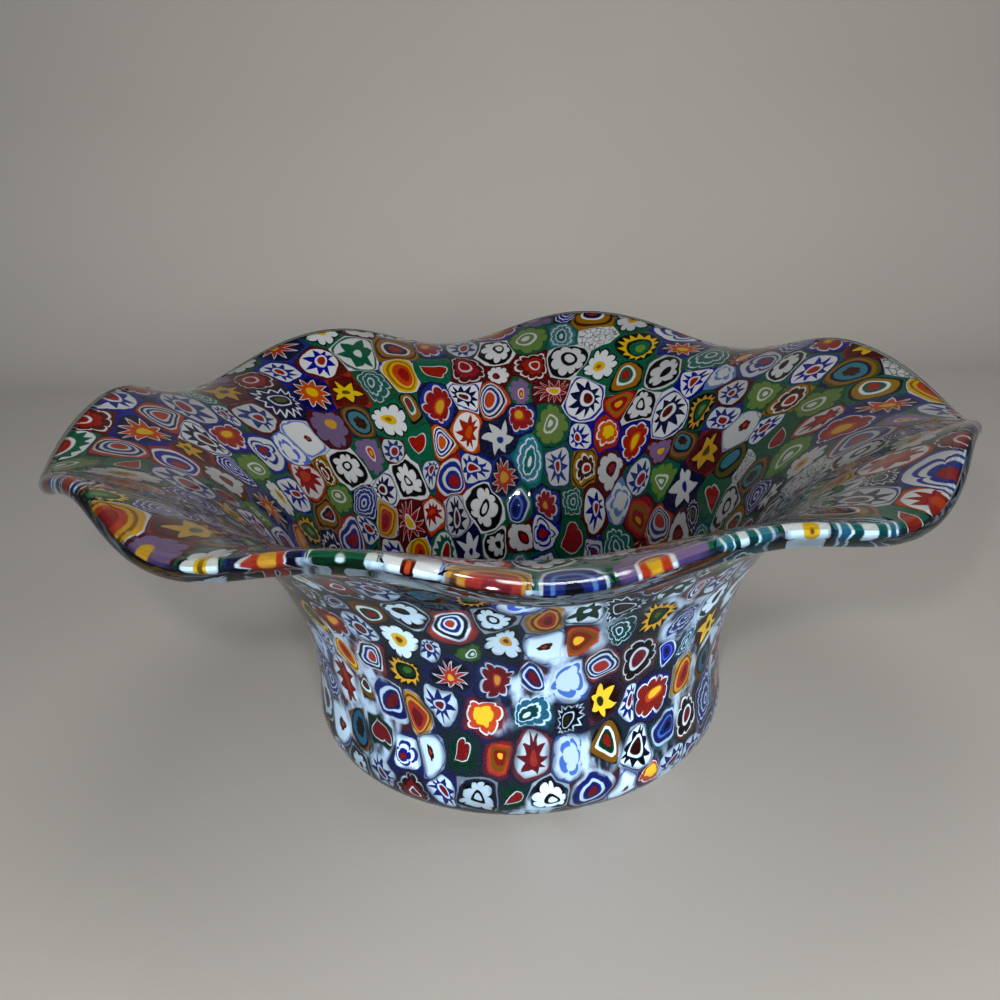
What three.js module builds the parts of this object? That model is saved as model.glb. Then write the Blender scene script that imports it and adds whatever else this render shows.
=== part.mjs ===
// Ruffled mosaic-glass bowl: cane slices (murrine) fused side by side into one wall, cased
// in clear glass and finished with a clear lip. Millimetres, +Z up, origin at the centre of
// the ground base.
//
// The wall is described by two numbers: the run, which is the distance along the outer skin
// from the centre of the base to the lip, and the depth below that skin, towards the inside.

import * as THREE from 'three';

// ---- Driving dimensions ----------------------------------------------------------------

// Outer skin, from the base outwards.
const BODY_RADIUS = 57;            // body, where the heel turns into the wall
const HEEL_RADIUS = 14.5;          // rounding between the base and the wall
const WALL_RUN = 54;               // length of the wall along the skin
const FLARE_RUN = 52.5;            // length of the flare along the skin
const WALL_START_DEG = 95.5;       // slope of the skin at the foot of the wall (90 = upright)
const WALL_END_DEG = 52;           // slope where the wall opens into the flare
const FLARE_END_DEG = 6;           // mean slope at the lip (0 = level, below 0 = drooping)

// Ruffle: the lip rises and droops in lobes.
const LOBES = 8;
const LOBE_SWING_DEG = 18.5;       // how far a lobe turns the lip up and down
const LOBE_ONSET = 2.2;            // power with which the ruffle grows towards the lip
const FIRST_LOBE_DEG = 77;         // bearing of the first raised lobe

// The lobes are made by hand and are not quite even. Each term is a wave round the lip, with
// its number of folds, its size and the bearing of its crest in degrees.
const LOBE_DRIFT = [               // radians by which the lobes bunch together
  { folds: 1, size: 0.174, crest: 169.5 },
  { folds: 2, size: 0.031, crest: 53.3 },
];
const LOBE_DEPTH = [               // share by which lobes are deeper
  { folds: 1, size: 0.4, crest: 94 },
  { folds: 2, size: 0.1, crest: 1.5 },
];
const LIP_TILT = [                 // degrees by which the lip turns up
  { folds: 1, size: 1.1, crest: 246 },
  { folds: 2, size: 1.3, crest: 75.5 },
];

// Layers of the wall, from the outer skin inwards.
const CASING_THICKNESS = 1.7;      // clear glass over the mosaic
const MOSAIC_THICKNESS = 2.4;      // height of the fused cane slices
const PARTING = 0.3;               // clearance between neighbouring pieces

// Clear pieces.
const BASE_PAD_INSET = 2.5;        // ground disc under the floor, in from the heel's start
const LIP_RUN = 3.2;               // clear glass beyond the last row of slices

// Rows of cane slices.
const CENTRE_SLICE_RADIUS = 4.8;
const FLOOR_COURSES = 4;
const HEEL_COURSES = 2;
const WALL_COURSES = 5;
const FLARE_COURSES = 5;

// Facets.
const FACETS_PER_LOBE = 8;
const FLOOR_FACETS = 40;
const HEEL_STEPS = 2;              // facets along the run in one heel course
const FLARE_STEPS = 2;             // the same in one flare course, where the lobes twist it
const SLOPE_STEPS = 24;            // steps that add up the curved flare
const NOSE_STEPS = 4;              // rounding of the lip's edge

// ---- Worked out from the above -----------------------------------------------------------

const RAD = Math.PI / 180;
const BASE_FLAT_RADIUS = BODY_RADIUS - HEEL_RADIUS;
const BASE_PAD_RADIUS = BASE_FLAT_RADIUS - BASE_PAD_INSET;
const HEEL_RUN = HEEL_RADIUS * WALL_START_DEG * RAD;
const HEEL_END = BASE_FLAT_RADIUS + HEEL_RUN;
const WALL_END = HEEL_END + WALL_RUN;
const SKIN_END = WALL_END + FLARE_RUN;
const LIP_START = SKIN_END - LIP_RUN;
const FLARE_END = LIP_START - PARTING / 2;   // middle of the parting at the lip
const MOSAIC_TOP = CASING_THICKNESS + PARTING + MOSAIC_THICKNESS;
const WALL_FACETS = LOBES * FACETS_PER_LOBE;

// ---- The outer skin ------------------------------------------------------------------------

function unevenness(terms, bearing) {
  const wave = ({ folds, size, crest }) => size * Math.cos(folds * (bearing - crest * RAD));
  return terms.reduce((sum, term) => sum + wave(term), 0);
}

// How far the ruffle turns the lip up (above 0) or down (below 0) at a bearing.
function ruffle(bearing) {
  const phase = LOBES * (bearing - FIRST_LOBE_DEG * RAD - unevenness(LOBE_DRIFT, bearing));
  return Math.cos(phase) * (1 + unevenness(LOBE_DEPTH, bearing));
}

// Radius and height on the outer skin at a run and bearing.
function skinOutline(run, bearing) {
  if (run <= BASE_FLAT_RADIUS) return [run, 0];
  const heelTurn = Math.min((run - BASE_FLAT_RADIUS) / HEEL_RADIUS, WALL_START_DEG * RAD);
  let radius = BASE_FLAT_RADIUS + HEEL_RADIUS * Math.sin(heelTurn);
  let height = HEEL_RADIUS * (1 - Math.cos(heelTurn));
  if (run <= HEEL_END) return [radius, height];

  // The wall's slope changes evenly, so it is part of a circle.
  const wallShare = Math.min((run - HEEL_END) / WALL_RUN, 1);
  const wallTurn = (WALL_END_DEG - WALL_START_DEG) * RAD;
  const slopeHere = WALL_START_DEG * RAD + wallTurn * wallShare;
  radius += (Math.sin(slopeHere) - Math.sin(WALL_START_DEG * RAD)) * WALL_RUN / wallTurn;
  height -= (Math.cos(slopeHere) - Math.cos(WALL_START_DEG * RAD)) * WALL_RUN / wallTurn;
  if (run <= WALL_END) return [radius, height];

  const flareShare = (run - WALL_END) / FLARE_RUN;
  const stepShare = flareShare / SLOPE_STEPS;
  const swing = LOBE_SWING_DEG * ruffle(bearing);
  const lipSlope = FLARE_END_DEG + unevenness(LIP_TILT, bearing);
  for (let step = 0; step < SLOPE_STEPS; step++) {
    const share = (step + 0.5) * stepShare;
    const meanSlope = WALL_END_DEG + (lipSlope - WALL_END_DEG) * share;
    const slope = (meanSlope + swing * share ** LOBE_ONSET) * RAD;
    radius += Math.cos(slope) * stepShare * FLARE_RUN;
    height += Math.sin(slope) * stepShare * FLARE_RUN;
  }
  return [radius, height];
}

function skinPoint(run, bearing) {
  const [radius, height] = skinOutline(run, bearing);
  return new THREE.Vector3(radius * Math.cos(bearing), radius * Math.sin(bearing), height);
}

// Direction from the outer skin towards the inside of the bowl.
function inwardNormal(run, bearing) {
  if (run <= BASE_FLAT_RADIUS) return new THREE.Vector3(0, 0, 1);
  const reach = 0.2;
  const turn = reach / BODY_RADIUS;
  const along = skinPoint(run + reach, bearing).sub(skinPoint(run - reach, bearing));
  const around = skinPoint(run, bearing + turn).sub(skinPoint(run, bearing - turn));
  return along.cross(around).normalize();
}

// Point of the wall at a run, a bearing and a depth below the outer skin.
function wallPoint(run, bearing, depth) {
  return skinPoint(run, bearing).addScaledVector(inwardNormal(run, bearing), depth);
}

// ---- Making the pieces -----------------------------------------------------------------------

// A piece is a closed section in (run, depth), turned about the axis as a lathe shape and
// then laid onto the wall. A section that touches run 0 is a disc, any other is a ring.
function drapedPiece(section, facets) {
  const closed = section[0].x > 0 ? [...section, section[0]] : section;
  const geometry = new THREE.LatheGeometry(closed, facets);
  const position = geometry.attributes.position;
  for (let i = 0; i < position.count; i++) {
    const bearing = Math.atan2(position.getX(i), position.getZ(i));
    const run = Math.hypot(position.getX(i), position.getZ(i));
    const point = wallPoint(run, bearing, position.getY(i));
    position.setXYZ(i, point.x, point.y, point.z);
  }
  geometry.computeVertexNormals();
  return geometry;
}

function disc(radius, depthLow, depthHigh) {
  const corners = [[0, depthLow], [radius, depthLow], [radius, depthHigh], [0, depthHigh]];
  return drapedPiece(corners.map(([run, depth]) => new THREE.Vector2(run, depth)), FLOOR_FACETS);
}

// The lathe splits its four-sided facets one way going out and the other way coming back.
// Splitting those on the way back across their other corners makes both faces of a ring, and
// the faces of the rings above and below it, bend along the same lines.
function alignFacets(geometry, columns, firstColumn, lastColumn) {
  const index = geometry.index;
  for (let quad = 0; quad < index.count / 6; quad++) {
    const column = quad % columns;
    if (column < firstColumn || column > lastColumn) continue;
    const [a, b, d, c] = [0, 1, 2, 3].map((corner) => index.getX(6 * quad + corner));
    [a, b, c, c, d, a].forEach((vertex, corner) => index.setX(6 * quad + corner, vertex));
  }
}

// Ring between the first and last station, through all of them on both faces.
function ring(stations, depthLow, depthHigh, facets) {
  const under = stations.map((run) => new THREE.Vector2(run, depthLow));
  const over = stations.map((run) => new THREE.Vector2(run, depthHigh)).reverse();
  const geometry = drapedPiece([...under, ...over], facets);
  const steps = stations.length - 1;
  alignFacets(geometry, 2 * stations.length, steps + 1, 2 * steps);
  return geometry;
}

// The lip's section: square against the mosaic, round at the free edge.
function lipSection() {
  const noseRadius = MOSAIC_TOP / 2;
  const noseCentre = SKIN_END - noseRadius * 0.9;
  const section = [new THREE.Vector2(LIP_START, 0)];
  for (let step = 0; step <= NOSE_STEPS; step++) {
    const turn = Math.PI * (step / NOSE_STEPS - 0.5);
    const run = noseCentre + noseRadius * 0.9 * Math.cos(turn);
    section.push(new THREE.Vector2(run, noseRadius + noseRadius * Math.sin(turn)));
  }
  section.push(new THREE.Vector2(LIP_START, MOSAIC_TOP));
  return section;
}

// The collar's face against the mosaic bends along the same lines as the last row's.
function lipCollar() {
  const section = lipSection();
  const geometry = drapedPiece(section, WALL_FACETS);
  alignFacets(geometry, section.length, section.length - 1, section.length - 1);
  return geometry;
}

function spread(from, to, count) {
  return Array.from({ length: count + 1 }, (_, i) => from + (to - from) * i / count);
}

// Stations of a course: its two ends, pulled in by half a parting at each, and its steps.
function courseStations(from, to, steps) {
  const stations = spread(from, to, steps);
  stations[0] += PARTING / 2;
  stations[steps] -= PARTING / 2;
  return stations;
}

const CLEAR = { color: 0xdfe6e4, roughness: 0.03 };
const COURSE_COLOURS = [0x1f3c8c, 0x8c1c18, 0x157a55, 0xe9e7df, 0xa67c12];

function named(name, geometry, look) {
  const material = new THREE.MeshStandardMaterial({ metalness: 0, ...look });
  const mesh = new THREE.Mesh(geometry, material);
  mesh.name = name;
  return mesh;
}

function courseLook(index) {
  return { color: COURSE_COLOURS[index % COURSE_COLOURS.length], roughness: 0.05 };
}

// One named ring for each row of slices between two runs.
function courses(name, from, to, count, steps, facets) {
  const bounds = spread(from, to, count);
  const low = CASING_THICKNESS + PARTING;
  return bounds.slice(1).map((end, index) => {
    const stations = courseStations(bounds[index], end, steps);
    const geometry = ring(stations, low, MOSAIC_TOP, facets);
    return named(`${name}_${index + 1}`, geometry, courseLook(index));
  });
}

function mosaic() {
  const centreRadius = CENTRE_SLICE_RADIUS - PARTING / 2;
  const centre = disc(centreRadius, CASING_THICKNESS + PARTING, MOSAIC_TOP);
  const heelStart = BASE_FLAT_RADIUS;
  return [
    named('centre_slice', centre, courseLook(COURSE_COLOURS.length - 1)),
    ...courses('floor_course', CENTRE_SLICE_RADIUS, heelStart, FLOOR_COURSES, 1, FLOOR_FACETS),
    ...courses('heel_course', heelStart, HEEL_END, HEEL_COURSES, HEEL_STEPS, WALL_FACETS),
    ...courses('wall_course', HEEL_END, WALL_END, WALL_COURSES, 1, WALL_FACETS),
    ...courses('flare_course', WALL_END, FLARE_END, FLARE_COURSES, FLARE_STEPS, WALL_FACETS),
  ];
}

// The clear skin outside the mosaic, with its stations under the ends of the courses.
function casing() {
  const stations = [
    BASE_PAD_RADIUS + PARTING,
    ...spread(BASE_FLAT_RADIUS, HEEL_END, HEEL_COURSES * HEEL_STEPS),
    ...spread(HEEL_END, WALL_END, WALL_COURSES).slice(1),
    ...spread(WALL_END, FLARE_END, FLARE_COURSES * FLARE_STEPS).slice(1),
  ];
  stations[stations.length - 1] -= PARTING / 2;
  return ring(stations, 0, CASING_THICKNESS, WALL_FACETS);
}

const bowl = new THREE.Group();
bowl.add(named('base_pad', disc(BASE_PAD_RADIUS, 0, CASING_THICKNESS), CLEAR));
bowl.add(named('clear_casing', casing(), CLEAR));
bowl.add(...mosaic());
bowl.add(named('lip_collar', lipCollar(), CLEAR));

export default bowl;
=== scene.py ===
"""Ruffled bowl of mosaic glass, dressed as fused cane slices under a clear skin.

Metres, +Z up, origin at the centre of the ground base. A place in the wall is given by its run
(distance along the outer skin from the centre of the base), its bearing about the axis and its
depth below the outer skin, towards the inside of the bowl.
"""
import math

import bpy
import numpy as np
from mathutils import Matrix, Vector


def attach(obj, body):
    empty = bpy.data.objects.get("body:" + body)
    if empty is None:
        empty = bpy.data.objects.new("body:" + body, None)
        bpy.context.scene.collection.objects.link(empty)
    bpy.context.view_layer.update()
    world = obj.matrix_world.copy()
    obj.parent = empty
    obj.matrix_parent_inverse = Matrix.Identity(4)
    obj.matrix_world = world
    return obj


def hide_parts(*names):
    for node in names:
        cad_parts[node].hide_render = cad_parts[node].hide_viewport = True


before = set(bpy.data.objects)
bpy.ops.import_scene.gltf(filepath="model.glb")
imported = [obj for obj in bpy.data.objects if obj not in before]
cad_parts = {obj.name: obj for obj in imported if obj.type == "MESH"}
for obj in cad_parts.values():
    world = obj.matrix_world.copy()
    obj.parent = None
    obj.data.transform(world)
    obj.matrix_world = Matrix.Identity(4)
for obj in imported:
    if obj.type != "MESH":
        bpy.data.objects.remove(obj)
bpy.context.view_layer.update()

bl_info = {
    "name": "Mosaic glass bowl",
    "blender": (4, 5, 0),
    "version": (1, 0, 0),
    "location": "3D View > Sidebar > Mosaic Bowl",
    "description": "Builds a ruffled bowl of fused cane slices with a clear skin and a clear lip",
    "category": "Object",
}

TURN = 2 * math.pi


# ---- Sizes and colours ---------------------------------------------------------------------


def length(name, metres, description):
    return bpy.props.FloatProperty(name=name, description=description, default=metres, unit="LENGTH",
                                   precision=5)


def angle(name, degrees, description):
    return bpy.props.FloatProperty(name=name, description=description, default=math.radians(degrees),
                                   subtype="ANGLE")


def number(name, value, description):
    return bpy.props.FloatProperty(name=name, description=description, default=value)


def colour(name, value, description):
    return bpy.props.FloatVectorProperty(name=name, description=description, default=value, size=3,
                                         subtype="COLOR", min=0, max=1)


def place(name, metres, description):
    return bpy.props.FloatVectorProperty(name=name, description=description, default=metres, size=3,
                                         subtype="TRANSLATION", precision=5)


class SkinSizes(bpy.types.PropertyGroup):
    """Shape of the outer skin."""

    body_radius: length("Body Radius", 0.057, "Radius where the heel turns into the wall")
    heel_radius: length("Heel Radius", 0.0145, "Rounding between the base and the wall")
    wall_run: length("Wall Run", 0.054, "Length of the wall along the skin")
    flare_run: length("Flare Run", 0.0525, "Length of the flare along the skin")
    wall_start: angle("Wall Start", 95.5, "Slope of the skin at the foot of the wall")
    wall_end: angle("Wall End", 52, "Slope where the wall opens into the flare")
    flare_end: angle("Flare End", 6, "Mean slope at the lip")
    lobes: number("Lobes", 8, "Raised lobes round the lip")
    lobe_swing: angle("Lobe Swing", 18.5, "How far a lobe turns the lip up and down")
    lobe_onset: number("Lobe Onset", 2.2, "Power with which the ruffle grows towards the lip")
    first_lobe: angle("First Lobe", 77, "Bearing of the first raised lobe")
    bunching_once: angle("Bunching Once", 9.97, "Drift of the lobes, one wave round the lip")
    bunching_once_crest: angle("Bunching Once Crest", 169.5, "Bearing of that wave's crest")
    bunching_twice: angle("Bunching Twice", 1.776, "Drift of the lobes, two waves round the lip")
    bunching_twice_crest: angle("Bunching Twice Crest", 53.3, "Bearing of those waves' crest")
    depth_once: number("Depth Once", 0.4, "Share by which lobes are deeper on one side")
    depth_once_crest: angle("Depth Once Crest", 94, "Bearing of the deepest side")
    depth_twice: number("Depth Twice", 0.1, "Share by which lobes are deeper on two sides")
    depth_twice_crest: angle("Depth Twice Crest", 1.5, "Bearing of the two deeper sides")
    tilt_once: angle("Tilt Once", 1.1, "Turn of the lip upwards on one side")
    tilt_once_crest: angle("Tilt Once Crest", 246, "Bearing of that side")
    tilt_twice: angle("Tilt Twice", 1.3, "Turn of the lip upwards on two sides")
    tilt_twice_crest: angle("Tilt Twice Crest", 75.5, "Bearing of the two sides")


class LayerSizes(bpy.types.PropertyGroup):
    """Layers of the wall and the slices in it."""

    casing: length("Casing", 0.0017, "Clear glass over the mosaic")
    wall: length("Wall", 0.0044, "Whole thickness of the wall")
    bond: length("Bond", 0.00012, "How far the clear skin sinks into the mosaic, as fused glass does")
    pad_radius: length("Pad Radius", 0.040, "Ground disc under the floor")
    parting: length("Parting", 0.0003, "Line between the ground disc and the casing")
    lip_run: length("Lip Run", 0.0032, "Run of the rounded clear lip")
    lip_clear: length("Lip Clear", 0.0016, "Clear glass between the slices and the edge of the lip")
    lip_middle: length("Lip Middle", 0.0026, "Depth at which the slices close up inside the lip")
    centre_radius: length("Centre Radius", 0.0048, "Radius of the slice in the middle of the floor")
    floor_width: length("Floor Width", 0.0096, "Width of a slice in the floor")
    wall_width: length("Wall Width", 0.0092, "Width of a slice in the wall")
    lip_width: length("Lip Width", 0.0138, "Width of a slice at the lip")
    wall_stretch: number("Wall Stretch", 1.36, "Height over width of a slice low in the wall")
    lip_stretch: number("Lip Stretch", 1.08, "Height over width of a slice at the lip")
    unevenness: number("Unevenness", 0.42, "How far slices stand off their row, in slice widths")
    drift: number("Drift", 0.075, "How far the hot glass pulled the seams aside, in slice widths")
    seed: bpy.props.IntProperty(name="Seed", description="Seed of the slices' places and kinds", default=11)


class BowlColours(bpy.types.PropertyGroup):
    """Colours of the glass."""

    white: colour("White", (0.72, 0.74, 0.75), "Opal white")
    black: colour("Black", (0.004, 0.004, 0.008), "Black")
    navy: colour("Navy", (0.008, 0.014, 0.085), "Dark blue")
    cobalt: colour("Cobalt", (0.012, 0.035, 0.33), "Cobalt blue")
    sky: colour("Sky", (0.16, 0.28, 0.62), "Light blue")
    turquoise: colour("Turquoise", (0.075, 0.28, 0.35), "Turquoise")
    teal: colour("Teal", (0.006, 0.2, 0.19), "Dark turquoise")
    emerald: colour("Emerald", (0.003, 0.16, 0.085), "Emerald green")
    lime: colour("Lime", (0.2, 0.33, 0.08), "Light green")
    olive: colour("Olive", (0.13, 0.13, 0.015), "Olive")
    yellow: colour("Yellow", (0.72, 0.46, 0.015), "Yellow")
    ochre: colour("Ochre", (0.36, 0.19, 0.01), "Ochre")
    orange: colour("Orange", (0.56, 0.085, 0.012), "Orange")
    red: colour("Red", (0.38, 0.01, 0.007), "Red")
    ruby: colour("Ruby", (0.14, 0.004, 0.006), "Dark red")
    brown: colour("Brown", (0.085, 0.022, 0.006), "Brown")
    lilac: colour("Lilac", (0.27, 0.18, 0.34), "Lilac")
    grey: colour("Grey", (0.2, 0.23, 0.25), "Grey")
    clear: colour("Clear", (0.93, 0.96, 0.95), "Clear glass of the skin")
    lip: colour("Lip", (0.66, 0.69, 0.68), "Clear glass of the lip, seen through its whole depth")
    seam: colour("Seam", (0.012, 0.012, 0.02), "Line between two slices")
    deep_seam: colour("Deep Seam", (0.006, 0.008, 0.02), "Seams seen through the skin")
    milk: colour("Milk", (0.42, 0.58, 0.8), "Milky streaks round slices seen through the skin")
    smoke: colour("Smoke", (0.5, 0.5, 0.48), "Faint cloudiness of the glass")
    clear_index: number("Clear Index", 1.22, "Refraction of the skin, low to keep the floor out of it")
    lip_index: number("Lip Index", 1.48, "Refraction of the lip")
    # This share darkens the colour of the open side of every slice: painted shade of the bowl's inside.
    inside_share: number("Inside Painted Shade", 0.44, "Share of the light a slice sends back on its open side")


class StageSettings(bpy.types.PropertyGroup):
    """Floor, backdrop, lamps and camera."""

    floor: colour("Floor", (0.42, 0.40, 0.37), "Pale floor")
    floor_length: length("Floor Length", 1.4, "Reach of the floor in front of the bowl")
    floor_side: length("Floor Side", 1.8, "Reach of the floor to either side")
    backdrop_distance: length("Backdrop Distance", 0.62, "From the bowl to the backdrop")
    backdrop_bend: length("Backdrop Bend", 0.18, "Radius in which the floor turns up")
    backdrop_height: length("Backdrop Height", 1.6, "Height of the backdrop")
    camera_place: place("Camera Place", (0.01537, -0.27898, 0.16714), "Where the camera stands")
    camera_yaw: angle("Camera Yaw", -3.869, "Turn of the camera about the upright")
    camera_pitch: angle("Camera Pitch", 19.497, "How far the camera looks down")
    camera_roll: angle("Camera Roll", -2.369, "Roll of the camera")
    camera_lens: number("Camera Lens", 38.99, "Focal length in millimetres on a 36 mm sensor")
    aim: place("Aim", (0.0, 0.0, 0.06), "Where the lamps point")
    window_place: place("Window Place", (0.0, 0.12, 1.0), "Large soft lamp overhead")
    window_size: length("Window Size", 0.45, "Side of that lamp")
    window_strength: number("Window Strength", 2.1, "Power of that lamp")
    front_place: place("Front Place", (0.25, -1.1, 0.36), "Lamp in front")
    front_size: length("Front Size", 0.3, "Side of that lamp")
    front_strength: number("Front Strength", 2.5, "Power of that lamp")
    front_spread: angle("Front Spread", 70, "How wide that lamp shines")
    fill_place: place("Fill Place", (0.75, -0.1, 0.6), "Soft lamp on the right")
    fill_size: length("Fill Size", 0.35, "Side of that lamp")
    fill_strength: number("Fill Strength", 1.2, "Power of that lamp")
    spark_place: place("Spark Place", (0.0, -0.285, 0.2), "Small lamp over the camera")
    spark_size: length("Spark Size", 0.01, "Width of that lamp")
    spark_strength: number("Spark Strength", 0.5, "Power of that lamp")
    room_colour: colour("Room Colour", (0.92, 0.95, 1.0), "Colour of the room's light")
    room_strength: number("Room Strength", 0.10, "Light of the room")


def skin():
    return bpy.context.scene.bowl_skin


def layers():
    return bpy.context.scene.bowl_layers


def colours():
    return bpy.context.scene.bowl_colours


def stage_settings():
    return bpy.context.scene.bowl_stage


def sizes_of(group):
    """Names and values of a property group, in the order they are declared."""
    names = group.__class__.__annotations__
    return {name: getattr(group, name) for name in names}


# ---- Writing node trees as sums --------------------------------------------------------------


class Term:
    """A socket that Python's operators join with Math nodes."""

    def __init__(self, graph, socket):
        self.graph = graph
        self.socket = socket

    def __add__(self, other):
        return self.graph.math("ADD", self, other)

    def __radd__(self, other):
        return self.graph.math("ADD", other, self)

    def __sub__(self, other):
        return self.graph.math("SUBTRACT", self, other)

    def __rsub__(self, other):
        return self.graph.math("SUBTRACT", other, self)

    def __mul__(self, other):
        return self.graph.math("MULTIPLY", self, other)

    def __rmul__(self, other):
        return self.graph.math("MULTIPLY", other, self)

    def __truediv__(self, other):
        return self.graph.math("DIVIDE", self, other)

    def __rtruediv__(self, other):
        return self.graph.math("DIVIDE", other, self)

    def __pow__(self, other):
        return self.graph.math("POWER", self, other)

    def __abs__(self):
        return self.graph.math("ABSOLUTE", self)

    def __lt__(self, other):
        return self.graph.math("LESS_THAN", self, other)


class Graph:
    """A node tree of any kind, written in Python expressions."""

    def __init__(self, tree):
        self.tree = tree

    def feed(self, socket, value):
        if isinstance(value, Term):
            self.tree.links.new(value.socket, socket)
        elif value is not None:
            socket.default_value = value

    def node(self, kind, settings=None, inputs=None):
        """Adds a node: its settings first, then what its inputs take, by name or by number."""
        made = self.tree.nodes.new(kind)
        for name, value in (settings or {}).items():
            setattr(made, name, value)
        for key, value in (inputs or {}).items():
            self.feed(made.inputs[key], value)
        return made

    def term(self, kind, output, settings=None, inputs=None):
        return Term(self, self.node(kind, settings, inputs).outputs[output])

    def math(self, operation, *values, clamp=False):
        settings = {"operation": operation, "use_clamp": clamp}
        return self.term("ShaderNodeMath", 0, settings, dict(enumerate(values)))

    def vector(self, operation, *values, output="Vector"):
        return self.term("ShaderNodeVectorMath", output, {"operation": operation}, dict(enumerate(values)))

    def mix(self, share, low, high):
        return self.term("ShaderNodeMix", 0, {"data_type": "FLOAT"}, {0: share, 2: low, 3: high})

    def mix_vector(self, share, low, high):
        return self.term("ShaderNodeMix", 1, {"data_type": "VECTOR"}, {0: share, 4: low, 5: high})

    def mix_colour(self, share, low, high):
        return self.term("ShaderNodeMix", 2, {"data_type": "RGBA"}, {0: share, 6: low, 7: high})

    def rise(self, value, low, high):
        """0 below low, 1 above high, smooth between."""
        inputs = {"Value": value, "From Min": low, "From Max": high}
        return self.term("ShaderNodeMapRange", "Result", {"interpolation_type": "SMOOTHSTEP"}, inputs)

    def noise(self, place, scale, detail):
        inputs = {"Vector": place, "Scale": scale, "Detail": detail}
        return self.term("ShaderNodeTexNoise", "Fac", None, inputs)

    def sin(self, value):
        return self.math("SINE", value)

    def cos(self, value):
        return self.math("COSINE", value)

    def join(self, x=0.0, y=0.0, z=0.0):
        return self.term("ShaderNodeCombineXYZ", 0, None, {0: x, 1: y, 2: z})

    def split(self, vector):
        made = self.node("ShaderNodeSeparateXYZ", None, {0: vector})
        return [Term(self, made.outputs[axis]) for axis in range(3)]


def add_socket(tree, name, way, kind, default=None):
    made = tree.interface.new_socket(name=name, in_out=way, socket_type=kind)
    if default is not None:
        made.default_value = default
    return made


# ---- The wall: one geometry tree that every piece of the bowl is laid on with ---------------


FLARE_STEPS = 24  # steps in which the flare's bend is added up
PROBE = 0.0002  # how far off the wall's direction is felt, in metres


def add_skin_inputs(tree):
    for name, value in sizes_of(skin()).items():
        add_socket(tree, name, "INPUT", "NodeSocketFloat", value)


def wave(graph, bearing, folds, size, crest):
    return size * graph.cos((bearing - crest) * folds)


def skin_point_tree():
    """Node group: point of the outer skin at a run and a bearing."""
    tree = bpy.data.node_groups.new("Skin Point", "GeometryNodeTree")
    add_socket(tree, "Run", "INPUT", "NodeSocketFloat")
    add_socket(tree, "Bearing", "INPUT", "NodeSocketFloat")
    add_socket(tree, "Steps", "INPUT", "NodeSocketInt", FLARE_STEPS)
    add_skin_inputs(tree)
    add_socket(tree, "Point", "OUTPUT", "NodeSocketVector")
    g = Graph(tree)
    given = g.node("NodeGroupInput")
    s = {socket.name: Term(g, socket) for socket in given.outputs if socket.name}
    run, bearing = s["Run"], s["Bearing"]

    flat = s["body_radius"] - s["heel_radius"]
    heel_turn = g.math("MINIMUM", g.math("MAXIMUM", run - flat, 0.0) / s["heel_radius"], s["wall_start"])
    radius = g.math("MINIMUM", run, flat) + s["heel_radius"] * g.sin(heel_turn)
    height = s["heel_radius"] * (1.0 - g.cos(heel_turn))

    heel_end = flat + s["heel_radius"] * s["wall_start"]
    wall_share = g.math("ADD", (run - heel_end) / s["wall_run"], 0.0, clamp=True)
    wall_turn = s["wall_end"] - s["wall_start"]
    slope_here = s["wall_start"] + wall_turn * wall_share
    bend = s["wall_run"] / wall_turn
    radius = radius + (g.sin(slope_here) - g.sin(s["wall_start"])) * bend
    height = height - (g.cos(slope_here) - g.cos(s["wall_start"])) * bend

    drift = wave(g, bearing, 1.0, s["bunching_once"], s["bunching_once_crest"])
    drift = drift + wave(g, bearing, 2.0, s["bunching_twice"], s["bunching_twice_crest"])
    deeper = wave(g, bearing, 1.0, s["depth_once"], s["depth_once_crest"])
    deeper = deeper + wave(g, bearing, 2.0, s["depth_twice"], s["depth_twice_crest"])
    tilt = wave(g, bearing, 1.0, s["tilt_once"], s["tilt_once_crest"])
    tilt = tilt + wave(g, bearing, 2.0, s["tilt_twice"], s["tilt_twice_crest"])
    ruffle = g.cos((bearing - s["first_lobe"] - drift) * s["lobes"]) * (deeper + 1.0)
    swing = s["lobe_swing"] * ruffle
    lip_turn = s["flare_end"] + tilt - s["wall_end"]

    flare_length = g.math("MAXIMUM", run - heel_end - s["wall_run"], 0.0)
    step_length = flare_length / s["Steps"]
    step_share = step_length / s["flare_run"]

    begin = tree.nodes.new("GeometryNodeRepeatInput")
    end = tree.nodes.new("GeometryNodeRepeatOutput")
    begin.pair_with_output(end)
    end.repeat_items.clear()
    end.repeat_items.new("FLOAT", "Radius")
    end.repeat_items.new("FLOAT", "Height")
    g.feed(begin.inputs["Iterations"], s["Steps"])
    g.feed(begin.inputs["Radius"], radius)
    g.feed(begin.inputs["Height"], height)
    share = (Term(g, begin.outputs["Iteration"]) + 0.5) * step_share
    slope = s["wall_end"] + lip_turn * share + swing * share ** s["lobe_onset"]
    g.feed(end.inputs["Radius"], Term(g, begin.outputs["Radius"]) + g.cos(slope) * step_length)
    g.feed(end.inputs["Height"], Term(g, begin.outputs["Height"]) + g.sin(slope) * step_length)
    radius, height = Term(g, end.outputs["Radius"]), Term(g, end.outputs["Height"])

    point = g.join(radius * g.cos(bearing), radius * g.sin(bearing), height)
    g.feed(g.node("NodeGroupOutput").inputs["Point"], point)
    return tree


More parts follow.
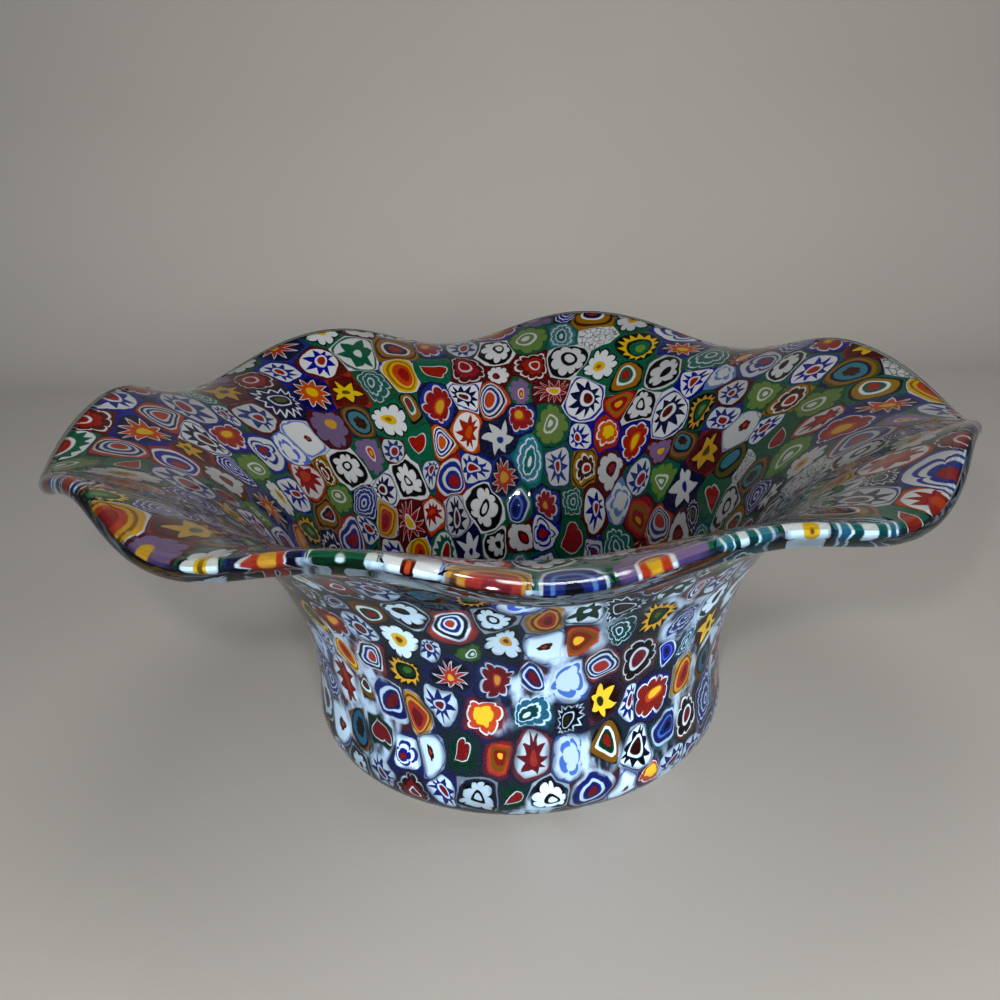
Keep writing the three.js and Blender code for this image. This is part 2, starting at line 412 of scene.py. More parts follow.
def drape_tree():
    """Modifier tree: moves a mesh given as (run, bearing, depth) onto the wall."""
    tree = bpy.data.node_groups.new("Lay On Wall", "GeometryNodeTree")
    add_socket(tree, "Geometry", "INPUT", "NodeSocketGeometry")
    add_socket(tree, "Material", "INPUT", "NodeSocketMaterial")
    add_socket(tree, "One Material", "INPUT", "NodeSocketBool", False)
    add_skin_inputs(tree)
    add_socket(tree, "Geometry", "OUTPUT", "NodeSocketGeometry")
    g = Graph(tree)
    given = g.node("NodeGroupInput")
    s = {socket.name: Term(g, socket) for socket in given.outputs if socket.name}
    sizes = {name: s[name] for name in sizes_of(skin())}
    point_tree = skin_point_tree()

    def skin_point(run, bearing):
        inputs = {"Run": run, "Bearing": bearing, "Steps": FLARE_STEPS, **sizes}
        return g.term("GeometryNodeGroup", 0, {"node_tree": point_tree}, inputs)

    run, bearing, depth = g.split(g.term("GeometryNodeInputPosition", 0))
    turn = PROBE / s["body_radius"]
    along = g.vector("SUBTRACT", skin_point(run + PROBE, bearing), skin_point(run - PROBE, bearing))
    around = g.vector("SUBTRACT", skin_point(run, bearing + turn), skin_point(run, bearing - turn))
    inward = g.vector("NORMALIZE", g.vector("CROSS_PRODUCT", along, around))
    on_flat = (run - s["body_radius"] + s["heel_radius"]) < 0.0
    inward = g.mix_vector(on_flat, inward, g.join(0.0, 0.0, 1.0))
    sunk = g.vector("MULTIPLY", inward, g.join(depth, depth, depth))
    place = g.vector("ADD", skin_point(run, bearing), sunk)

    stored = s["Geometry"]
    for name, value in (("inward", inward), ("along", g.vector("NORMALIZE", along))):
        settings = {"data_type": "FLOAT_VECTOR", "domain": "POINT"}
        stored = g.term("GeometryNodeStoreNamedAttribute", 0, settings,
                        {"Geometry": stored, "Name": name, "Value": value})
    laid = g.term("GeometryNodeSetPosition", 0, None, {"Geometry": stored, "Position": place})
    real = g.term("GeometryNodeRealizeInstances", 0, None, {"Geometry": laid})
    dressed = g.term("GeometryNodeSetMaterial", 0, None, {
        "Geometry": real, "Selection": s["One Material"], "Material": s["Material"]})
    g.feed(g.node("NodeGroupOutput").inputs["Geometry"], dressed)
    return tree


def flat_mesh(name, vertices, faces):
    """A mesh given as (run, bearing, depth)."""
    flat = bpy.data.meshes.new(name + "_flat")
    flat.from_pydata([tuple(v) for v in vertices], [], faces)
    return flat


def laid_on_wall(name, flat, material=None):
    """Lays a flat mesh on the wall as a plain piece, in one material or in its own ones."""
    holder = bpy.data.objects.new(name + "_flat", flat)
    bpy.context.scene.collection.objects.link(holder)
    tree = bpy.data.node_groups.get("Lay On Wall") or drape_tree()
    modifier = holder.modifiers.new("Lay On Wall", "NODES")
    modifier.node_group = tree
    ids = {item.name: item.identifier for item in tree.interface.items_tree if item.in_out == "INPUT"}
    for key, value in sizes_of(skin()).items():
        modifier[ids[key]] = value
    modifier[ids["One Material"]] = material is not None
    modifier[ids["Material"]] = material or flat.materials[0]
    graph = bpy.context.evaluated_depsgraph_get()
    mesh = bpy.data.meshes.new_from_object(holder.evaluated_get(graph))
    bpy.data.objects.remove(holder)
    bpy.data.meshes.remove(flat)
    mesh.name = name
    piece = bpy.data.objects.new(name, mesh)
    bpy.context.scene.collection.objects.link(piece)
    return piece


def read_vectors(mesh, name):
    values = np.zeros(len(mesh.vertices) * 3, np.float32)
    mesh.attributes[name].data.foreach_get("vector", values)
    mesh.attributes.remove(mesh.attributes[name])
    return values.reshape(-1, 3)


def shade_along_wall(piece, face_side, lean=None):
    """Gives the faces along the wall the wall's own normals, so the gloss runs over every seam.

    face_side holds, for each face, 1 for the inside of the wall, -1 for the outside, 0 for others.
    lean holds, for each vertex, how far its normal leans towards the lip.
    """
    mesh = piece.data
    mesh.shade_smooth()
    vertex = np.zeros(len(mesh.loops), np.int32)
    mesh.loops.foreach_get("vertex_index", vertex)
    inward, along = read_vectors(mesh, "inward"), read_vectors(mesh, "along")
    totals = np.zeros(len(mesh.polygons), np.int32)
    mesh.polygons.foreach_get("loop_total", totals)
    flat = np.zeros(len(mesh.polygons) * 3, np.float32)
    mesh.polygons.foreach_get("normal", flat)
    flat = np.repeat(flat.reshape(-1, 3), totals, axis=0)
    side = np.repeat(np.asarray(face_side, np.float32), totals)[:, None]
    leaning = along * (np.zeros(len(inward)) if lean is None else lean)[:, None]
    normals = np.where(side == 0, flat, inward[vertex] * side + leaning[vertex])
    normals /= np.maximum(np.linalg.norm(normals, axis=1), 1e-9)[:, None]
    mesh.normals_split_custom_set([tuple(n) for n in normals])


# ---- Glass -----------------------------------------------------------------------------------


def new_material(name):
    material = bpy.data.materials.new(name)
    material.use_nodes = True
    material.node_tree.nodes.clear()
    return material, Graph(material.node_tree)


def clear_glass(name, tint, index):
    """Clear glass with the soft waviness of hot work and slight marks of handling."""
    material, g = new_material(name)
    place = g.term("ShaderNodeTexCoord", "Object")
    waves = g.noise(place, 34.0, 1.0)
    ripple = g.noise(place, 160.0, 2.0)
    height = waves + ripple * 0.12
    bump = g.term("ShaderNodeBump", 0, None, {"Strength": 0.35, "Distance": 0.0006, "Height": height})
    handled = g.noise(place, 90.0, 4.0)
    glass = g.node("ShaderNodeBsdfPrincipled", None, {
        "Base Color": (*tint, 1), "Roughness": g.rise(handled, 0.35, 0.85) * 0.035,
        "IOR": index, "Transmission Weight": 1.0, "Normal": bump})
    see_through = g.node("ShaderNodeBsdfTransparent", None, {"Color": (*tint, 1)})
    shadow = g.term("ShaderNodeLightPath", "Is Shadow Ray")
    mixed = g.node("ShaderNodeMixShader", None, {0: shadow, 1: Term(g, glass.outputs[0]),
                                                 2: Term(g, see_through.outputs[0])})
    g.feed(g.node("ShaderNodeOutputMaterial").inputs["Surface"], Term(g, mixed.outputs[0]))
    return material


# A kind of cane: how common it is, its coat, then its zones inwards. A zone is (radius, colour)
# when round, and otherwise (radius, colour, shape, points, cut). The radius is a share of the
# slice, points is how many petals or spikes the zone has and cut is how deep they are.
KINDS = {
    "blue_star_blue": (6, "cobalt", [(0.86, "white"), (0.8, "cobalt", "star", 9, 0.45), (0.36, "white"),
        (0.25, "red")]),
    "blue_star_green": (6, "emerald", [(0.9, "cobalt"), (0.82, "white"), (0.76, "cobalt", "star", 9, 0.45),
        (0.34, "white"), (0.24, "red")]),
    "blue_star_white": (4, "white", [(0.94, "cobalt"), (0.86, "white"), (0.8, "navy", "star", 10, 0.42),
        (0.36, "white"), (0.24, "ruby")]),
    "blue_star_red": (5, "ruby", [(0.84, "white"), (0.78, "cobalt", "star", 8, 0.45), (0.34, "white"),
        (0.23, "red")]),
    "white_daisy_black": (4, "emerald", [(0.86, "black", "petal", 9, 0.25),
        (0.78, "white", "petal", 9, 0.42), (0.27, "yellow"), (0.12, "ochre")]),
    "petals_on_black": (6, "white", [(0.9, "black"), (0.74, "white", "petal", 8, 0.34), (0.32, "black"),
        (0.19, "white")]),
    "petals_black_green": (3, "emerald", [(0.92, "white"), (0.82, "black"),
        (0.68, "white", "petal", 8, 0.34), (0.26, "black")]),
    "red_heart_green": (5, "emerald", [(0.56, "white", "heart", 0, 0), (0.51, "red", "heart", 0, 0)]),
    "orange_eye": (4, "brown", [(0.95, "orange"), (0.78, "white"), (0.7, "navy"), (0.6, "white"),
        (0.5, "cobalt"), (0.38, "white"), (0.29, "orange")]),
    "red_flower_navy": (5, "navy", [(0.92, "cobalt"), (0.8, "white", "petal", 8, 0.26),
        (0.72, "red", "petal", 8, 0.28), (0.34, "orange"), (0.24, "yellow")]),
    "yellow_core_spikes": (3, "ruby", [(0.92, "white", "star", 12, 0.55), (0.84, "red", "star", 12, 0.55),
        (0.34, "white"), (0.28, "yellow", "star", 6, 0.15)]),
    "red_star_white": (4, "brown", [(0.96, "orange"), (0.84, "white"), (0.76, "red", "star", 9, 0.42),
        (0.26, "orange")]),
    "spiky_on_navy": (4, "cobalt", [(0.88, "navy"), (0.8, "white", "star", 10, 0.5),
        (0.7, "orange", "star", 10, 0.5), (0.2, "yellow")]),
    "quatrefoil": (4, "cobalt", [(0.88, "white"), (0.7, "cobalt", "petal", 4, 0.36),
        (0.58, "white", "petal", 4, 0.4), (0.42, "cobalt", "petal", 4, 0.3), (0.22, "red")]),
    "lilac_flower": (4, "emerald", [(0.88, "lilac", "petal", 9, 0.3), (0.34, "white"), (0.26, "orange"),
        (0.13, "yellow")]),
    "lilac_on_red": (2, "ruby", [(0.86, "lilac", "petal", 8, 0.3), (0.24, "yellow")]),
    "scalloped_white": (3, "ruby", [(0.82, "white", "petal", 9, 0.22), (0.34, "ruby"), (0.18, "red")]),
    "ochre_flower": (3, "ochre", [(0.94, "black"), (0.88, "ochre"), (0.74, "white", "petal", 8, 0.28),
        (0.65, "brown", "petal", 8, 0.28), (0.34, "white"), (0.24, "red")]),
    "white_lace": (2, "white", [(0.9, "grey", "lace", 5, 0)]),
    "turquoise_rosette": (3, "teal", [(0.92, "turquoise", "petal", 11, 0.16),
        (0.78, "white", "petal", 11, 0.16), (0.7, "turquoise", "petal", 11, 0.16),
        (0.48, "white", "petal", 9, 0.16), (0.4, "teal", "petal", 9, 0.16), (0.16, "white")]),
    "teal_flower": (4, "emerald", [(0.86, "white", "petal", 9, 0.24), (0.79, "teal", "petal", 9, 0.24),
        (0.56, "white", "petal", 9, 0.22), (0.49, "teal", "petal", 9, 0.22), (0.24, "white"),
        (0.16, "teal")]),
    "blue_rosette": (5, "navy", [(0.92, "white", "petal", 12, 0.14), (0.85, "cobalt", "petal", 12, 0.14),
        (0.68, "white", "petal", 12, 0.14), (0.61, "cobalt", "petal", 12, 0.14),
        (0.45, "white", "petal", 12, 0.14), (0.38, "cobalt", "petal", 12, 0.14), (0.2, "white"),
        (0.11, "cobalt")]),
    "red_scallops": (4, "ruby", [(0.88, "white", "petal", 10, 0.2), (0.8, "ruby", "petal", 10, 0.2),
        (0.6, "red", "petal", 8, 0.2), (0.34, "white"), (0.26, "red")]),
    "yellow_star_red": (4, "red", [(0.95, "ruby"), (0.84, "black", "star", 6, 0.44),
        (0.74, "yellow", "star", 6, 0.48), (0.18, "olive")]),
    "green_star": (3, "white", [(0.94, "emerald"), (0.84, "white"), (0.78, "emerald", "star", 6, 0.44),
        (0.16, "white")]),
    "turquoise_eye": (4, "navy", [(0.93, "olive"), (0.8, "ochre"), (0.64, "navy"), (0.52, "turquoise"),
        (0.3, "brown", "petal", 6, 0.3)]),
    "green_eye": (4, "emerald", [(0.86, "black"), (0.74, "ochre"), (0.5, "white"), (0.38, "emerald"),
        (0.22, "red")]),
    "red_eye": (3, "ruby", [(0.92, "red"), (0.76, "orange"), (0.62, "ochre"), (0.44, "red"),
        (0.2, "yellow")]),
    "ochre_eye": (3, "ochre", [(0.86, "brown"), (0.74, "ochre"), (0.52, "white"), (0.42, "navy"),
        (0.24, "red")]),
    "white_blue_eye": (4, "red", [(0.88, "white"), (0.76, "cobalt"), (0.56, "white"), (0.44, "cobalt"),
        (0.3, "red")]),
    "lime_flower": (3, "emerald", [(0.86, "lime", "petal", 9, 0.26), (0.42, "white"), (0.32, "lime"),
        (0.16, "white")]),
    "olive_ring": (3, "black", [(0.88, "olive"), (0.6, "black"), (0.46, "turquoise")]),
    "yellow_spikes_green": (3, "emerald", [(0.9, "black"), (0.82, "yellow", "star", 14, 0.3),
        (0.5, "black"), (0.4, "emerald"), (0.2, "lime")]),
    "green_teeth": (3, "emerald", [(0.9, "white"), (0.84, "emerald", "star", 14, 0.25), (0.42, "white"),
        (0.32, "red")]),
    "white_star_navy": (3, "navy", [(0.84, "white", "star", 6, 0.52), (0.16, "cobalt")]),
    "zigzag_navy": (4, "navy", [(0.9, "white", "star", 14, 0.26), (0.78, "navy", "star", 14, 0.26),
        (0.42, "white"), (0.36, "navy"), (0.22, "olive")]),
    "yellow_flower_red": (4, "cobalt", [(0.93, "red"), (0.76, "white", "petal", 7, 0.2),
        (0.69, "orange", "petal", 7, 0.2), (0.46, "yellow", "petal", 6, 0.2)]),
    "milk": (2, "sky", [(0.92, "white", "petal", 5, 0.3), (0.62, "sky", "petal", 5, 0.4),
        (0.45, "white", "petal", 4, 0.3)]),
    "flame_eye": (2, "cobalt", [(0.97, "white"), (0.9, "yellow"), (0.72, "ochre"), (0.62, "yellow"),
        (0.5, "orange"), (0.28, "red")]),
    "blue_oval_green": (2, "emerald", [(0.84, "turquoise"), (0.74, "white"), (0.64, "cobalt"),
        (0.46, "sky"), (0.36, "cobalt"), (0.16, "navy")]),
    "red_dot_white": (2, "white", [(0.96, "sky"), (0.9, "white"), (0.26, "ruby", "petal", 5, 0.3),
        (0.1, "orange")]),
}


# Slices whose kind is listed: kind, run in metres and bearing in degrees.
PLACED = [
    ("yellow_star_red", 0.166, 232), ("turquoise_eye", 0.164, 239), ("flame_eye", 0.172, 226),
    ("flame_eye", 0.170, 269), ("blue_oval_green", 0.168, 278), ("red_dot_white", 0.168, 262),
    ("orange_eye", 0.160, 192), ("orange_eye", 0.161, 176), ("white_daisy_black", 0.126, 126),
    ("orange_eye", 0.121, 114), ("red_heart_green", 0.115, 123), ("petals_on_black", 0.111, 130),
    ("red_star_white", 0.094, 118), ("white_star_navy", 0.088, 110), ("blue_star_blue", 0.110, 106),
    ("red_flower_navy", 0.096, 86), ("spiky_on_navy", 0.107, 93), ("red_heart_green", 0.090, 69),
    ("petals_on_black", 0.149, 76), ("lilac_flower", 0.136, 87), ("blue_star_blue", 0.124, 75),
    ("lilac_on_red", 0.118, 46), ("yellow_spikes_green", 0.131, 44), ("red_star_white", 0.169, 318),
    ("blue_star_white", 0.159, 316), ("white_daisy_black", 0.110, 270), ("yellow_star_red", 0.082, 294),
    ("blue_star_white", 0.069, 303), ("red_star_white", 0.076, 274), ("red_heart_green", 0.064, 268),
    ("turquoise_rosette", 0.090, 278), ("white_daisy_black", 0.108, 248), ("red_dot_white", 0.070, 250),
    ("zigzag_navy", 0.082, 284), ("blue_star_green", 0.085, 256), ("milk", 0.073, 288),
    ("milk", 0.098, 287), ("petals_on_black", 0.066, 259),
]


ZONE_BLUR = 0.035  # softness of a zone's edge, as a share of the slice
HEART_DROP, HEART_CLEFT, HEART_WIDTH = 0.12, 0.42, 1.15  # shape of a heart
LACE_SCALE = 0.8
SPIKE_POWER = 1.35  # above 1, the spikes of a star are hollow-sided
WOBBLE = 0.13  # how far a zone strays from its true shape
WOBBLE_SCALE = 1.6
SEAM_START = 0.84  # from here outwards the zones follow the outline of the slice
SEAM_LINE, SEAM_SHARE = 0.965, 0.5  # where the line between two slices starts, and its depth
SMOKE_SHARE = 0.06
BATCHES = {"Hue": (0.485, 0.03), "Saturation": (0.9, 0.2), "Value": (0.8, 0.3)}  # least and swing
OPEN_GAMMA, CASED_GAMMA = 1.3, 2.45  # depth of colour on the open side and through the skin
CASED_SATURATION = 0.8
THROUGH_SKIN = (0.9, 1.16, 1.45)  # the skin's cool cast
STREAK_SHAPE = (1.0, 1.0, 0.35)  # milky streaks are drawn out upwards


def glass_colour(name):
    return (*getattr(colours(), name), 1.0)


def cane_tree():
    """Node group: where a point lies in its slice, with the small faults of hand-drawn cane."""
    tree = bpy.data.node_groups.new("Cane Place", "ShaderNodeTree")
    add_socket(tree, "Radius", "OUTPUT", "NodeSocketFloat")
    add_socket(tree, "Bearing", "OUTPUT", "NodeSocketFloat")
    add_socket(tree, "Across", "OUTPUT", "NodeSocketVector")
    add_socket(tree, "Seam", "OUTPUT", "NodeSocketFloat")
    add_socket(tree, "Tone", "OUTPUT", "NodeSocketFloat")
    g = Graph(tree)
    across = g.term("ShaderNodeUVMap", 0, {"uv_map": "cane"})
    seam = g.term("ShaderNodeAttribute", "Fac", {"attribute_name": "to_seam"})
    tone = g.term("ShaderNodeAttribute", "Fac", {"attribute_name": "tone"})
    noise = g.term("ShaderNodeTexNoise", "Color", {"noise_dimensions": "4D"},
                   {"Vector": across, "W": tone * 40.0, "Scale": WOBBLE_SCALE, "Detail": 1.0})
    wobble = g.vector("MULTIPLY", g.vector("SUBTRACT", noise, (0.5, 0.5, 0.5)), (WOBBLE, WOBBLE, 0.0))
    moved = g.vector("ADD", across, wobble)
    x, y, _ = g.split(moved)
    true_radius = g.vector("LENGTH", moved, output="Value")
    radius = g.mix(g.rise(seam, SEAM_START, 1.0), true_radius, seam)
    out = g.node("NodeGroupOutput")
    g.feed(out.inputs["Radius"], radius)
    g.feed(out.inputs["Bearing"], g.math("ARCTAN2", y, x))
    g.feed(out.inputs["Across"], moved)
    g.feed(out.inputs["Seam"], seam)
    g.feed(out.inputs["Tone"], tone)
    return tree


def zone_share(g, place, size, shape="round", points=0, cut=0):
    """1 inside a zone of the cane and 0 outside it."""
    radius, bearing, across = place
    if shape == "heart":
        x, y, _ = g.split(across)
        lifted = y + HEART_DROP - (abs(x) ** 0.5) * HEART_CLEFT
        reach = ((x * HEART_WIDTH) ** 2 + lifted ** 2) ** 0.5
        return g.math("ADD", (size - reach) / ZONE_BLUR, 0.5, clamp=True)
    if shape == "lace":
        scaled = g.vector("MULTIPLY", across, (points, points, 1.0))
        near = g.term("ShaderNodeTexVoronoi", "Distance", {"feature": "DISTANCE_TO_EDGE"},
                      {"Vector": scaled, "Scale": LACE_SCALE})
        return (1.0 - g.rise(near, 0.03, 0.10)) * g.rise(radius, 0.99, size)
    edge = size
    if points:
        folds = bearing * (points / TURN)
        tip = g.math("PINGPONG", folds, 0.5) * 2.0
        if shape == "petal":
            tip = g.math("SQRT", 1.0 - (1.0 - tip) ** 2.0)
        else:
            tip = tip ** SPIKE_POWER
        edge = size * (1.0 - cut) + tip * (size * cut)
    return g.math("ADD", (edge - radius) / ZONE_BLUR, 0.5, clamp=True)


def cane_colour_tree(name, coat, zones):
    """Node group: the colour of one kind of cane."""
    tree = bpy.data.node_groups.new("Cane " + name, "ShaderNodeTree")
    add_socket(tree, "Color", "OUTPUT", "NodeSocketColor")
    add_socket(tree, "Seam", "OUTPUT", "NodeSocketFloat")
    g = Graph(tree)
    place_tree = bpy.data.node_groups.get("Cane Place") or cane_tree()
    group = g.node("ShaderNodeGroup", {"node_tree": place_tree})
    radius, bearing, across, seam, tone = [Term(g, socket) for socket in group.outputs]
    shade = glass_colour(coat)
    for size, tint, *form in zones:
        share = zone_share(g, (radius, bearing, across), size, *form)
        shade = g.mix_colour(share, shade, glass_colour(tint))
    changes = {name: tone * swing + least for name, (least, swing) in BATCHES.items()}
    batch = g.term("ShaderNodeHueSaturation", 0, None, {**changes, "Color": shade})
    smoke = g.noise(g.term("ShaderNodeTexCoord", "Object"), 900.0, 3.0)
    cloudy = g.mix_colour(g.rise(smoke, 0.42, 0.75) * SMOKE_SHARE, batch, glass_colour("smoke"))
    line = g.rise(seam, SEAM_LINE, 1.0)
    out = g.node("NodeGroupOutput")
    g.feed(out.inputs["Color"], g.mix_colour(line * SEAM_SHARE, cloudy, glass_colour("seam")))
    g.feed(out.inputs["Seam"], seam)
    return tree


def cane_material(name, cased):
    """Glass of one kind of cane: open, glossy and darkened with painted shade, or fused to the clear skin and
    seen through it.
    """
    material, g = new_material("cane_" + name + ("_cased" if cased else ""))
    group = g.node("ShaderNodeGroup", {"node_tree": bpy.data.node_groups["Cane " + name]})
    tint, seam = [Term(g, socket) for socket in group.outputs]
    place = g.term("ShaderNodeTexCoord", "Object")
    if cased:
        drawn = g.noise(place, 45.0, 2.0)
        dull = g.term("ShaderNodeHueSaturation", 0, None, {"Saturation": CASED_SATURATION, "Color": tint})
        deep = g.term("ShaderNodeGamma", 0, None, {"Color": dull, "Gamma": CASED_GAMMA})
        deep = g.vector("MULTIPLY", deep, THROUGH_SKIN)
        deep = g.mix_colour(g.rise(seam, 0.64, 0.90) * 0.7, deep, glass_colour("deep_seam"))
        streaks = g.noise(g.vector("MULTIPLY", place, STREAK_SHAPE), 260.0, 3.0)
        patch = g.noise(place, 38.0, 1.0)
        milk = g.rise(patch, 0.58, 0.64) * g.rise(seam, 0.72, 0.84) * g.rise(streaks, 0.35, 0.6)
        milky = g.mix_colour(milk * 0.7, deep, glass_colour("milk"))
        glass = g.node("ShaderNodeBsdfPrincipled", None, {
            "Base Color": milky, "Roughness": g.rise(drawn, 0.3, 0.8) * 0.2 + 0.5, "Specular IOR Level": 0.0})
    else:
        waves = g.noise(place, 60.0, 1.0)
        height = waves * 0.5 - g.rise(seam, 0.80, 1.0) * 0.25
        bump = g.term("ShaderNodeBump", 0, None, {"Strength": 0.4, "Distance": 0.0004, "Height": height})
        worn = g.noise(place, 130.0, 5.0)
        # Painted shade: the open side's colour is multiplied by this share, standing in for the shade inside
        # the bowl.
        share = colours().inside_share
        thin = g.term("ShaderNodeGamma", 0, None, {"Color": tint, "Gamma": OPEN_GAMMA})
        thin = g.vector("MULTIPLY", thin, (share, share, share))
        glass = g.node("ShaderNodeBsdfPrincipled", None, {
            "Base Color": thin, "Roughness": g.rise(worn, 0.35, 0.8) * 0.10 + 0.03, "IOR": 1.5,
            "Specular IOR Level": 0.3, "Normal": bump})
    g.feed(g.node("ShaderNodeOutputMaterial").inputs["Surface"], Term(g, glass.outputs[0]))
    return material


# ---- Setting out the slices ----------------------------------------------------------------


RUN_STEPS = 2400  # steps in which the wall's width and stretch are added up
OVERHANG = 0.4  # how far past the lip slices are set out, in slice widths
STRETCH_RISE = 0.01  # height over the heel at which slices are tallest, in metres
FLARE_STRETCH, FLARE_WIDTH = 1.15, 1.05  # at the foot of the flare
# Waves of the hot glass that pull seams round the bowl and up it: folds, twist, start, share.
PULL_ROUND = ((37, 0.9, 0, 1.0), (23, -1.7, 0, 0.6))
PULL_UP = ((31, -1.2, 2, 1.0), (19, 1.9, 0, 0.6))
PULL_TWIST = 21
TALL_SHARE = 0.8  # how much of its unevenness a slice takes upwards
EDGE_KEPT = 0.35  # least distance of a starting place from the end, in slice widths
SLICE_SIZES = (0.16, 0.36, 0.46, 0.56)  # how hard a slice pushes, in slice widths
SLICE_SHARES = (0.2, 0.3, 0.3, 0.2)
SETTLING_ROUNDS, SETTLING_PACE = 4, 0.7
NEAR_LIP = 0.8  # places further out than this are mirrored in the end of the plane
NEIGHBOURS, START_CORNERS = 20, 8
RIM_SHARE = 0.997
EDGE_PIECE = 0.4  # length of a piece of a slice's outline, as a share of its radius
RING_SHARES = (1.0, 0.88, 0.62, 0.3)  # rings of faces in a slice
OVAL, ROUND = 0.8, 0.2  # how far a cane's design follows an oval slice
STEEPEST = 0.985  # how far round the lip a slice reaches


def pulled(waves, bearing, row):
    return sum(share * np.sin(folds * bearing + twist * row + start)
               for folds, twist, start, share in waves)


class Layout:
    """Places and outlines of the cane slices, worked out in a plane in which they are round.

    In that plane the distance from the middle is chosen so that a circle lies on the wall as an
    oval of the wanted stretch, and a bearing is the same as on the bowl.
    """

    def __init__(self):
        s, l = skin(), layers()
        self.flat = s.body_radius - s.heel_radius
        self.heel_end = self.flat + s.heel_radius * s.wall_start
        self.wall_end = self.heel_end + s.wall_run
        self.skin_end = self.wall_end + s.flare_run
        self.end = self.skin_end - l.lip_run
        self.rim = self.skin_end - l.lip_clear
        self.beyond = self.skin_end + l.lip_width * OVERHANG
        run = np.linspace(0, self.beyond, RUN_STEPS)
        slope = np.interp(run, [self.flat, self.heel_end, self.wall_end, self.skin_end],
                          [0, s.wall_start, s.wall_end, s.flare_end])
        step = np.gradient(run)
        radius = np.cumsum(np.cos(slope) * step)
        stops = [0, self.flat, self.heel_end, self.wall_end, self.skin_end]
        stretch = np.interp(run, [self.flat, self.heel_end + STRETCH_RISE, self.wall_end, self.skin_end],
                            [1.0, l.wall_stretch, FLARE_STRETCH, l.lip_stretch])
        width = np.interp(run, stops, [l.floor_width, l.floor_width, l.wall_width,
                                       l.wall_width * FLARE_WIDTH, l.lip_width])
        radius = np.maximum(radius, 1e-4)
        growth = np.where(run > self.flat, step / (stretch * radius), 0)
        plane = np.where(run > self.flat, self.flat * np.exp(np.cumsum(growth)), run)
        self.run, self.plane, self.radius = run, plane, radius
        self.width, self.stretch = width, stretch
        self.plane_width = width * np.maximum(plane, 1e-4) / radius
        self.plane_rim = float(np.interp(self.rim, run, plane))

    def to_plane(self, run, bearing):
        reach = np.interp(run, self.run, self.plane)
        return np.stack([reach * np.cos(bearing), reach * np.sin(bearing)], -1)

    def local_width(self, points):
        return np.interp(np.hypot(*points.T), self.plane, self.plane_width)

    def to_wall(self, points, near):
        """(run, bearing) of points of the plane, with bearings close to the bearing near."""
        reach = np.hypot(points[:, 0], points[:, 1])
        bearing = np.arctan2(points[:, 1], points[:, 0])
        pull = layers().drift * self.local_width(points)
        pull = pull * np.clip(reach / self.plane_width[-1], 0, 1)
        row = np.log(np.maximum(reach, 1e-4)) * PULL_TWIST
        bearing = bearing + pull / np.maximum(reach, 1e-3) * pulled(PULL_ROUND, bearing, row)
        held = np.clip((self.plane_rim - reach) / self.plane_width[-1], 0, 1)
        reach = reach + pull * pulled(PULL_UP, bearing, row) * held
        bearing = near + (bearing - near + math.pi) % TURN - math.pi
        return np.stack([np.interp(reach, self.plane, self.run), bearing], -1)

    def rows(self, dice):
        """Starting places, row by row from the middle slice to the lip."""
        centre = layers().centre_radius
        height = self.width * self.stretch
        rows = np.cumsum(np.where(self.run > centre, np.gradient(self.run) / height, 0))
        last = np.interp(self.beyond, self.run, rows)
        count = round(float(last))
        places = [(0.0, 0.0)]
        for row in range(count):
            run = np.interp((row + 0.5) * last / count, rows, self.run)
            across = np.interp(run, self.run, self.width)
            girth = TURN * np.interp(run, self.run, self.radius)
            slices = round(float(girth / across))
            first = dice.uniform(0, TURN)
            for i in range(slices):
                shift = dice.uniform(-1, 1, 2) * layers().unevenness
                tall = across * np.interp(run, self.run, self.stretch)
                own_run = run + shift[0] * tall * TALL_SHARE
                places.append((own_run, first + (i + shift[1]) * TURN / slices))
        runs, bearings = np.array(places).T
        edge = EDGE_KEPT * layers().wall_width
        return self.to_plane(np.clip(runs, 0, self.beyond - edge), bearings)

    def outlines(self, places, sizes):
        """Corners of the region that each slice takes from its neighbours; big ones push small ones."""
        reach = np.hypot(*places.T)
        outer = reach > self.plane[-1] * NEAR_LIP
        beyond = (self.plane[-1] / reach[outer]) ** 2
        everyone = np.concatenate([places, places[outer] * beyond[:, None]])
        reaches = np.concatenate([sizes, sizes[outer] * beyond])
        bearings = np.arange(START_CORNERS) * TURN / START_CORNERS
        ring = np.column_stack([np.cos(bearings), np.sin(bearings)])
        result = []
        for i, place in enumerate(places):
            away = everyone - place
            distance = np.hypot(*away.T)
            distance[i] = np.inf
            nearest = np.argsort(distance)[:NEIGHBOURS]
            corners = place + distance[nearest[-1]] * ring
            for j in nearest:
                share = 0.5 + (reaches[i] ** 2 - reaches[j] ** 2) / (2 * distance[j] ** 2)
                corners = clipped(corners, place + away[j] * share, away[j])
            result.append(corners)
        return result

    def slices(self):
        """Outlines of all slices, and the dice that their kinds are drawn with next."""
        dice = np.random.default_rng(layers().seed)
        places = self.rows(dice)
        share = dice.choice(SLICE_SIZES, len(places), p=SLICE_SHARES)
        for _ in range(SETTLING_ROUNDS):
            sizes = share * self.local_width(places)
            middles = np.array([centroid(outline) for outline in self.outlines(places, sizes)])
            places = places + (middles - places) * SETTLING_PACE
            places[0] = 0
        return [outline for outline in self.outlines(places, sizes)
                if np.hypot(*outline.T).min() < self.plane_rim * RIM_SHARE], dice


def clipped(corners, middle, away):
    """The part of a convex outline on the near side of a line."""
    heights = (corners - middle) @ away
    if (heights <= 0).all():
        return corners
    kept = []
    for k, corner in enumerate(corners):
        following = (k + 1) % len(corners)
        if heights[k] <= 0:
            kept.append(corner)
        if (heights[k] <= 0) != (heights[following] <= 0):
            share = heights[k] / (heights[k] - heights[following])
            kept.append(corner + (corners[following] - corner) * share)
    return np.array(kept)


